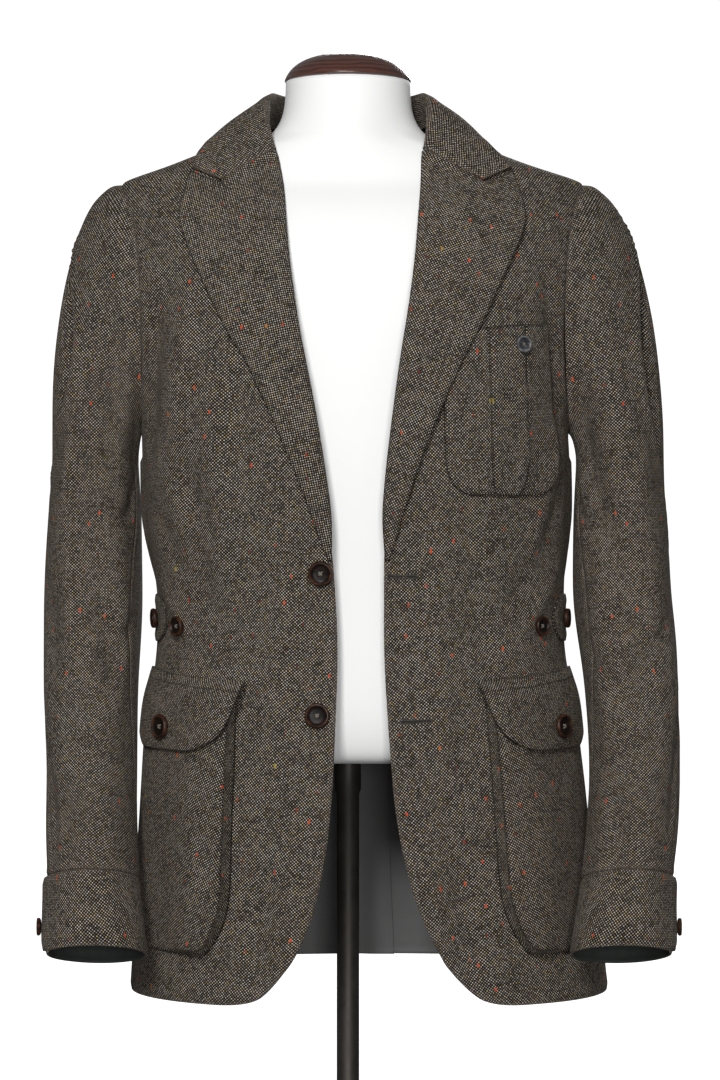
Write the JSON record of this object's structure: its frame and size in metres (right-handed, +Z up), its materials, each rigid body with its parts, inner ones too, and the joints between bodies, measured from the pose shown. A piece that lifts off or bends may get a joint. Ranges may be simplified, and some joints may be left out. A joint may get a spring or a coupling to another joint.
{
  "type": "safari jacket on a limbless dress form",
  "caption": "Tweed safari jacket with notch lapels, bellows hip pockets, pleated chest pocket and back half belt, worn open on a limbless dress form with a pole and round base.",
  "frame": {"origin": "centre of the stand base's underside, below the pole", "axes": "+Z up along the pole; -Y is the jacket's front; +X is the wearer's left"},
  "size_m": [0.5582, 0.3347, 0.9587],
  "materials": {
    "tweed": "soft matte woollen tweed",
    "horn": "polished dark horn",
    "grey_horn": "polished grey horn",
    "form_cover": "smooth white cover",
    "dark_wood": "polished dark walnut",
    "dark_steel": "satin dark bronze"
  },
  "bodies": {
    "root": {"front_left": "tweed", "front_right": "tweed", "back_left": "tweed", "back_right": "tweed", "lapel_left": "tweed", "lapel_right": "tweed", "collar": "tweed", "sleeve_upper_left": "tweed", "sleeve_upper_right": "tweed", "sleeve_under_left": "tweed", "sleeve_under_right": "tweed", "cuff_left": "tweed", "cuff_right": "tweed", "chest_pocket": "tweed", "hip_pocket_left": "tweed", "hip_pocket_right": "tweed", "pocket_flap_left": "tweed", "pocket_flap_right": "tweed", "half_belt": "tweed", "front_button_upper": "horn", "front_button_lower": "horn", "chest_button": "grey_horn", "flap_button_left": "horn", "flap_button_right": "horn", "belt_button_left": "horn", "belt_button_right": "horn", "spare_button_left": "horn", "spare_button_right": "horn", "cuff_button_left": "horn", "cuff_button_right": "horn", "form_body": "form_cover", "neck_cap": "dark_wood", "stand_pole": "dark_steel", "stand_base": "dark_steel"}
  },
  "joints": []
}
